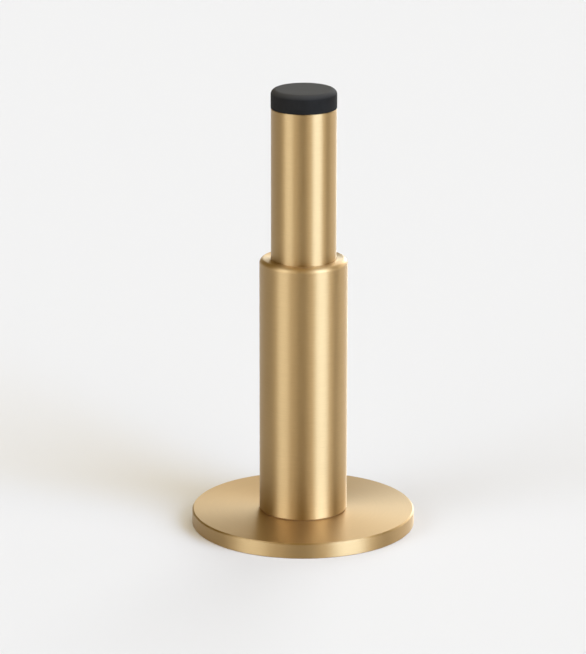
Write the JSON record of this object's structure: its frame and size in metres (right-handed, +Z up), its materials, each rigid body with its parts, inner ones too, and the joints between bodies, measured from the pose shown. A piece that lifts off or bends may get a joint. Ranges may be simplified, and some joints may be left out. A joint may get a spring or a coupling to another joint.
{
  "type": "floor door stop",
  "caption": "Slim upright door stop: a flat round base disc, a stepped cylindrical post and a soft cap that meets the door.",
  "frame": {"origin": "centre of the underside of the base disc, on the floor", "axes": "+Z up along the post's own axis; the part is the same all round, so X and Y are any level pair"},
  "size_m": [0.05, 0.05, 0.1],
  "materials": {
    "satin_brass": "satin",
    "black_rubber": "matte"
  },
  "bodies": {
    "root": {"base_disc": "satin_brass", "sleeve": "satin_brass", "post": "satin_brass", "rubber_cap": "black_rubber"}
  },
  "joints": []
}
